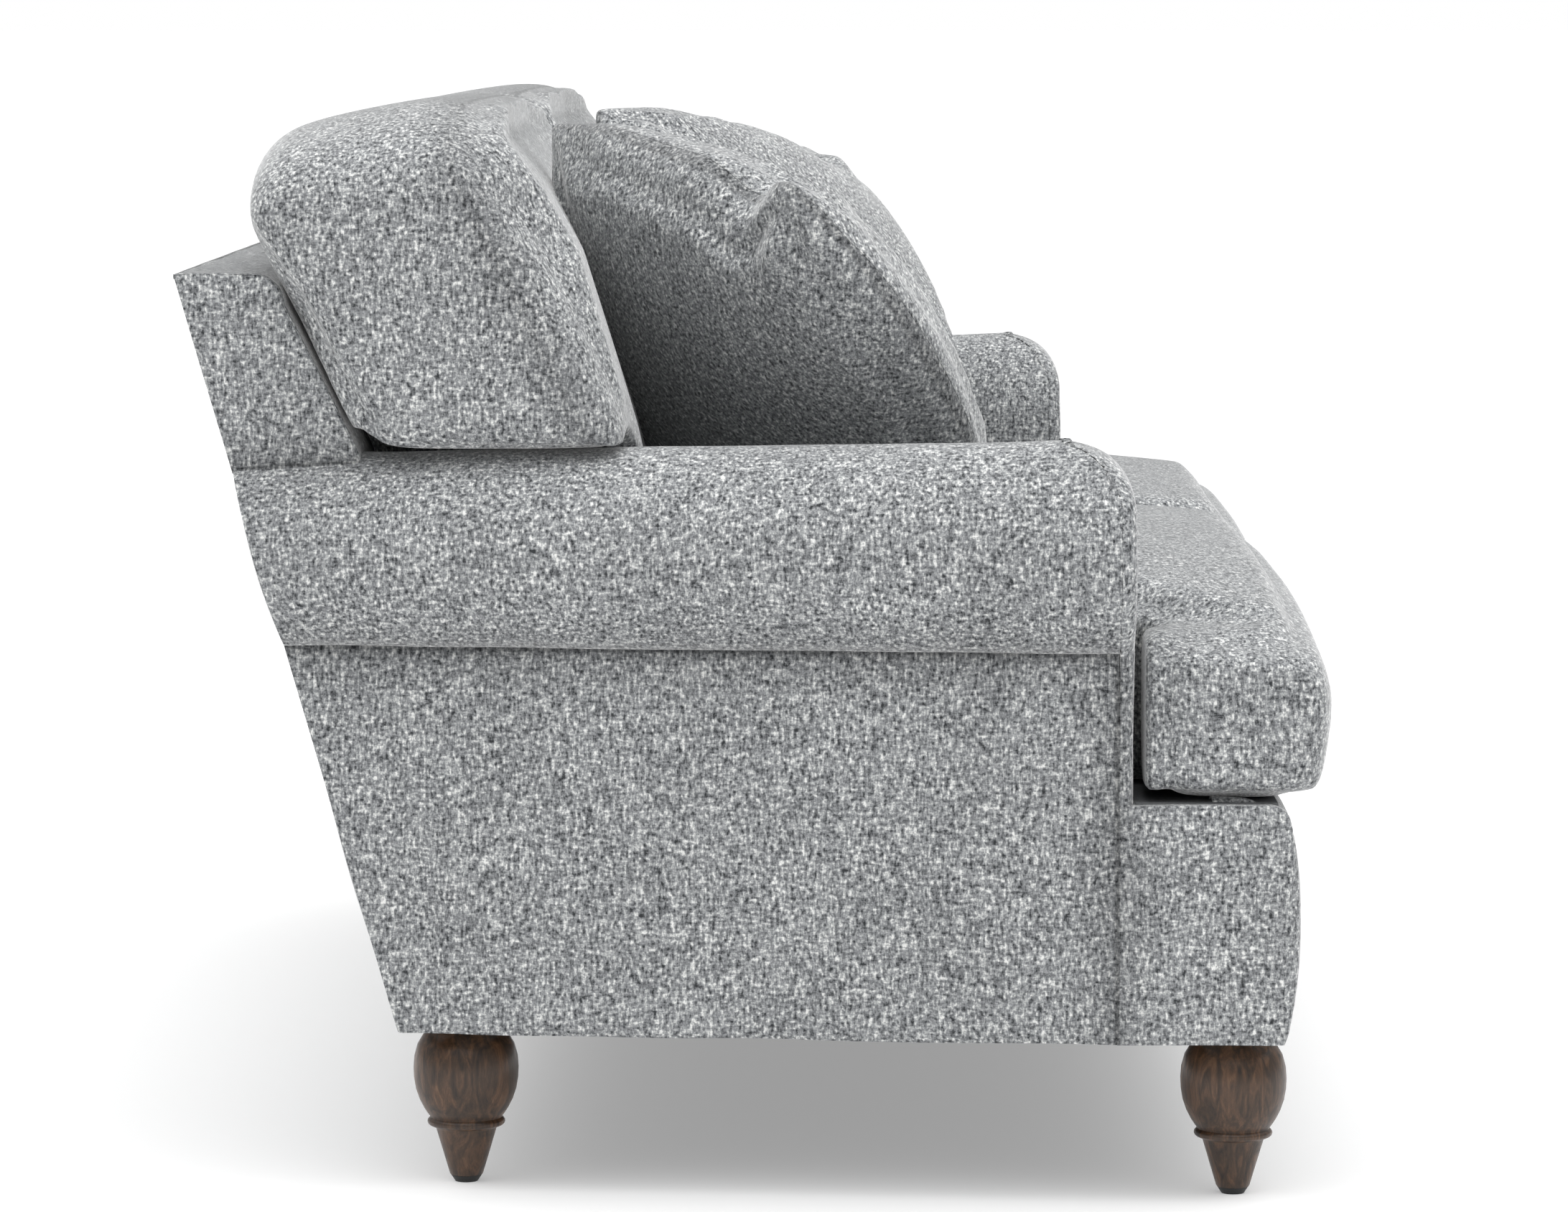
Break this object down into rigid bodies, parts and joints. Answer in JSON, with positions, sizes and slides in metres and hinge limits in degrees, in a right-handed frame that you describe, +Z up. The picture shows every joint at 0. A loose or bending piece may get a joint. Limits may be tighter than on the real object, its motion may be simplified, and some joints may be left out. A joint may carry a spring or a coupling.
{
  "type": "english roll arm sofa",
  "caption": "Upholstered settee with low rolled arms, T seat cushions, back cushions that lap over the arms, corner pillows and turned wooden legs.",
  "frame": {"origin": "on the floor under the middle of the sofa's width and depth", "axes": "+Z up; +X along the sofa to the sitter's left arm; the front faces -Y"},
  "size_m": [2.13, 1.016, 0.959],
  "materials": {
    "upholstery": "heathered grey tweed weave, matte",
    "walnut": "dark walnut stain, satin lacquer",
    "frame_wood": "sawn beech, bare",
    "wadding": "bonded fibre wadding, matte",
    "foam": "open-cell foam, matte",
    "feather_fill": "filled cotton ticking, matte",
    "webbing": "woven elastic webbing, matte",
    "deck_lining": "black twill lining, matte",
    "deck_felt": "needled felt, matte",
    "dust_cloth": "black spunbonded cloth, matte",
    "zinc_steel": "zinc plated",
    "glide_plastic": "moulded, matte"
  },
  "bodies": {
    "root": {"arm_front_board_left": "frame_wood", "arm_front_board_right": "frame_wood", "arm_front_facing_left": "upholstery", "arm_front_facing_right": "upholstery", "arm_outer_panel_left": "upholstery", "arm_outer_panel_right": "upholstery", "arm_padding_left": "wadding", "arm_padding_right": "wadding", "arm_rear_board_left": "frame_wood", "arm_rear_board_right": "frame_wood", "arm_roll_cover_left": "upholstery", "arm_roll_cover_right": "upholstery", "arm_tack_rail_left": "frame_wood", "arm_tack_rail_right": "frame_wood", "arm_top_rail_left": "frame_wood", "arm_top_rail_right": "frame_wood", "back_padding": "wadding", "back_post_left": "frame_wood", "back_post_right": "frame_wood", "back_posts_inner": "frame_wood", "back_rail": "frame_wood", "back_seat_rail": "frame_wood", "back_side_panel_left": "upholstery", "back_side_panel_right": "upholstery", "back_top_rail": "frame_wood", "back_webbing": "webbing", "centre_rail": "frame_wood", "corner_blocks": "frame_wood", "deck_cloth": "deck_lining", "deck_pad": "deck_felt", "dust_cover": "dust_cloth", "front_border_cover": "upholstery", "front_border_padding": "wadding", "front_leg_left": "walnut", "front_leg_right": "walnut", "front_rail": "frame_wood", "hanger_bolts": "zinc_steel", "inside_back_cover": "upholstery", "leg_glides": "glide_plastic", "leg_plates": "zinc_steel", "outside_back_cover": "upholstery", "rear_leg_left": "walnut", "rear_leg_right": "walnut", "seat_webbing_cross": "webbing", "seat_webbing_long": "webbing", "side_rail_left": "frame_wood", "side_rail_right": "frame_wood"},
    "seat_cushion_left": {"seat_cushion_cover_left": "upholstery", "seat_cushion_core_left": "foam"},
    "back_cushion_left": {"back_cushion_cover_left": "upholstery", "back_cushion_core_left": "foam"},
    "throw_pillow_left": {"throw_pillow_cover_left": "upholstery", "throw_pillow_insert_left": "feather_fill"},
    "seat_cushion_right": {"seat_cushion_cover_right": "upholstery", "seat_cushion_core_right": "foam"},
    "back_cushion_right": {"back_cushion_cover_right": "upholstery", "back_cushion_core_right": "foam"},
    "throw_pillow_right": {"throw_pillow_cover_right": "upholstery", "throw_pillow_insert_right": "feather_fill"}
  },
  "joints": [
    {"name": "seat_cushion_lift_left", "type": "slide", "parent": "root", "child": "seat_cushion_left", "axis": [0, 0, 1], "range_m": [0, 0.35]},
    {"name": "back_cushion_lift_left", "type": "slide", "parent": "seat_cushion_left", "child": "back_cushion_left", "axis": [0, 0.299, 0.9542], "range_m": [0, 0.35]},
    {"name": "throw_pillow_lift_left", "type": "slide", "parent": "back_cushion_left", "child": "throw_pillow_left", "axis": [0, 0, 1], "range_m": [0, 0.3]},
    {"name": "seat_cushion_lift_right", "type": "slide", "parent": "root", "child": "seat_cushion_right", "axis": [0, 0, 1], "range_m": [0, 0.35]},
    {"name": "back_cushion_lift_right", "type": "slide", "parent": "seat_cushion_right", "child": "back_cushion_right", "axis": [0, 0.299, 0.9542], "range_m": [0, 0.35]},
    {"name": "throw_pillow_lift_right", "type": "slide", "parent": "back_cushion_right", "child": "throw_pillow_right", "axis": [0, 0, 1], "range_m": [0, 0.3]}
  ]
}
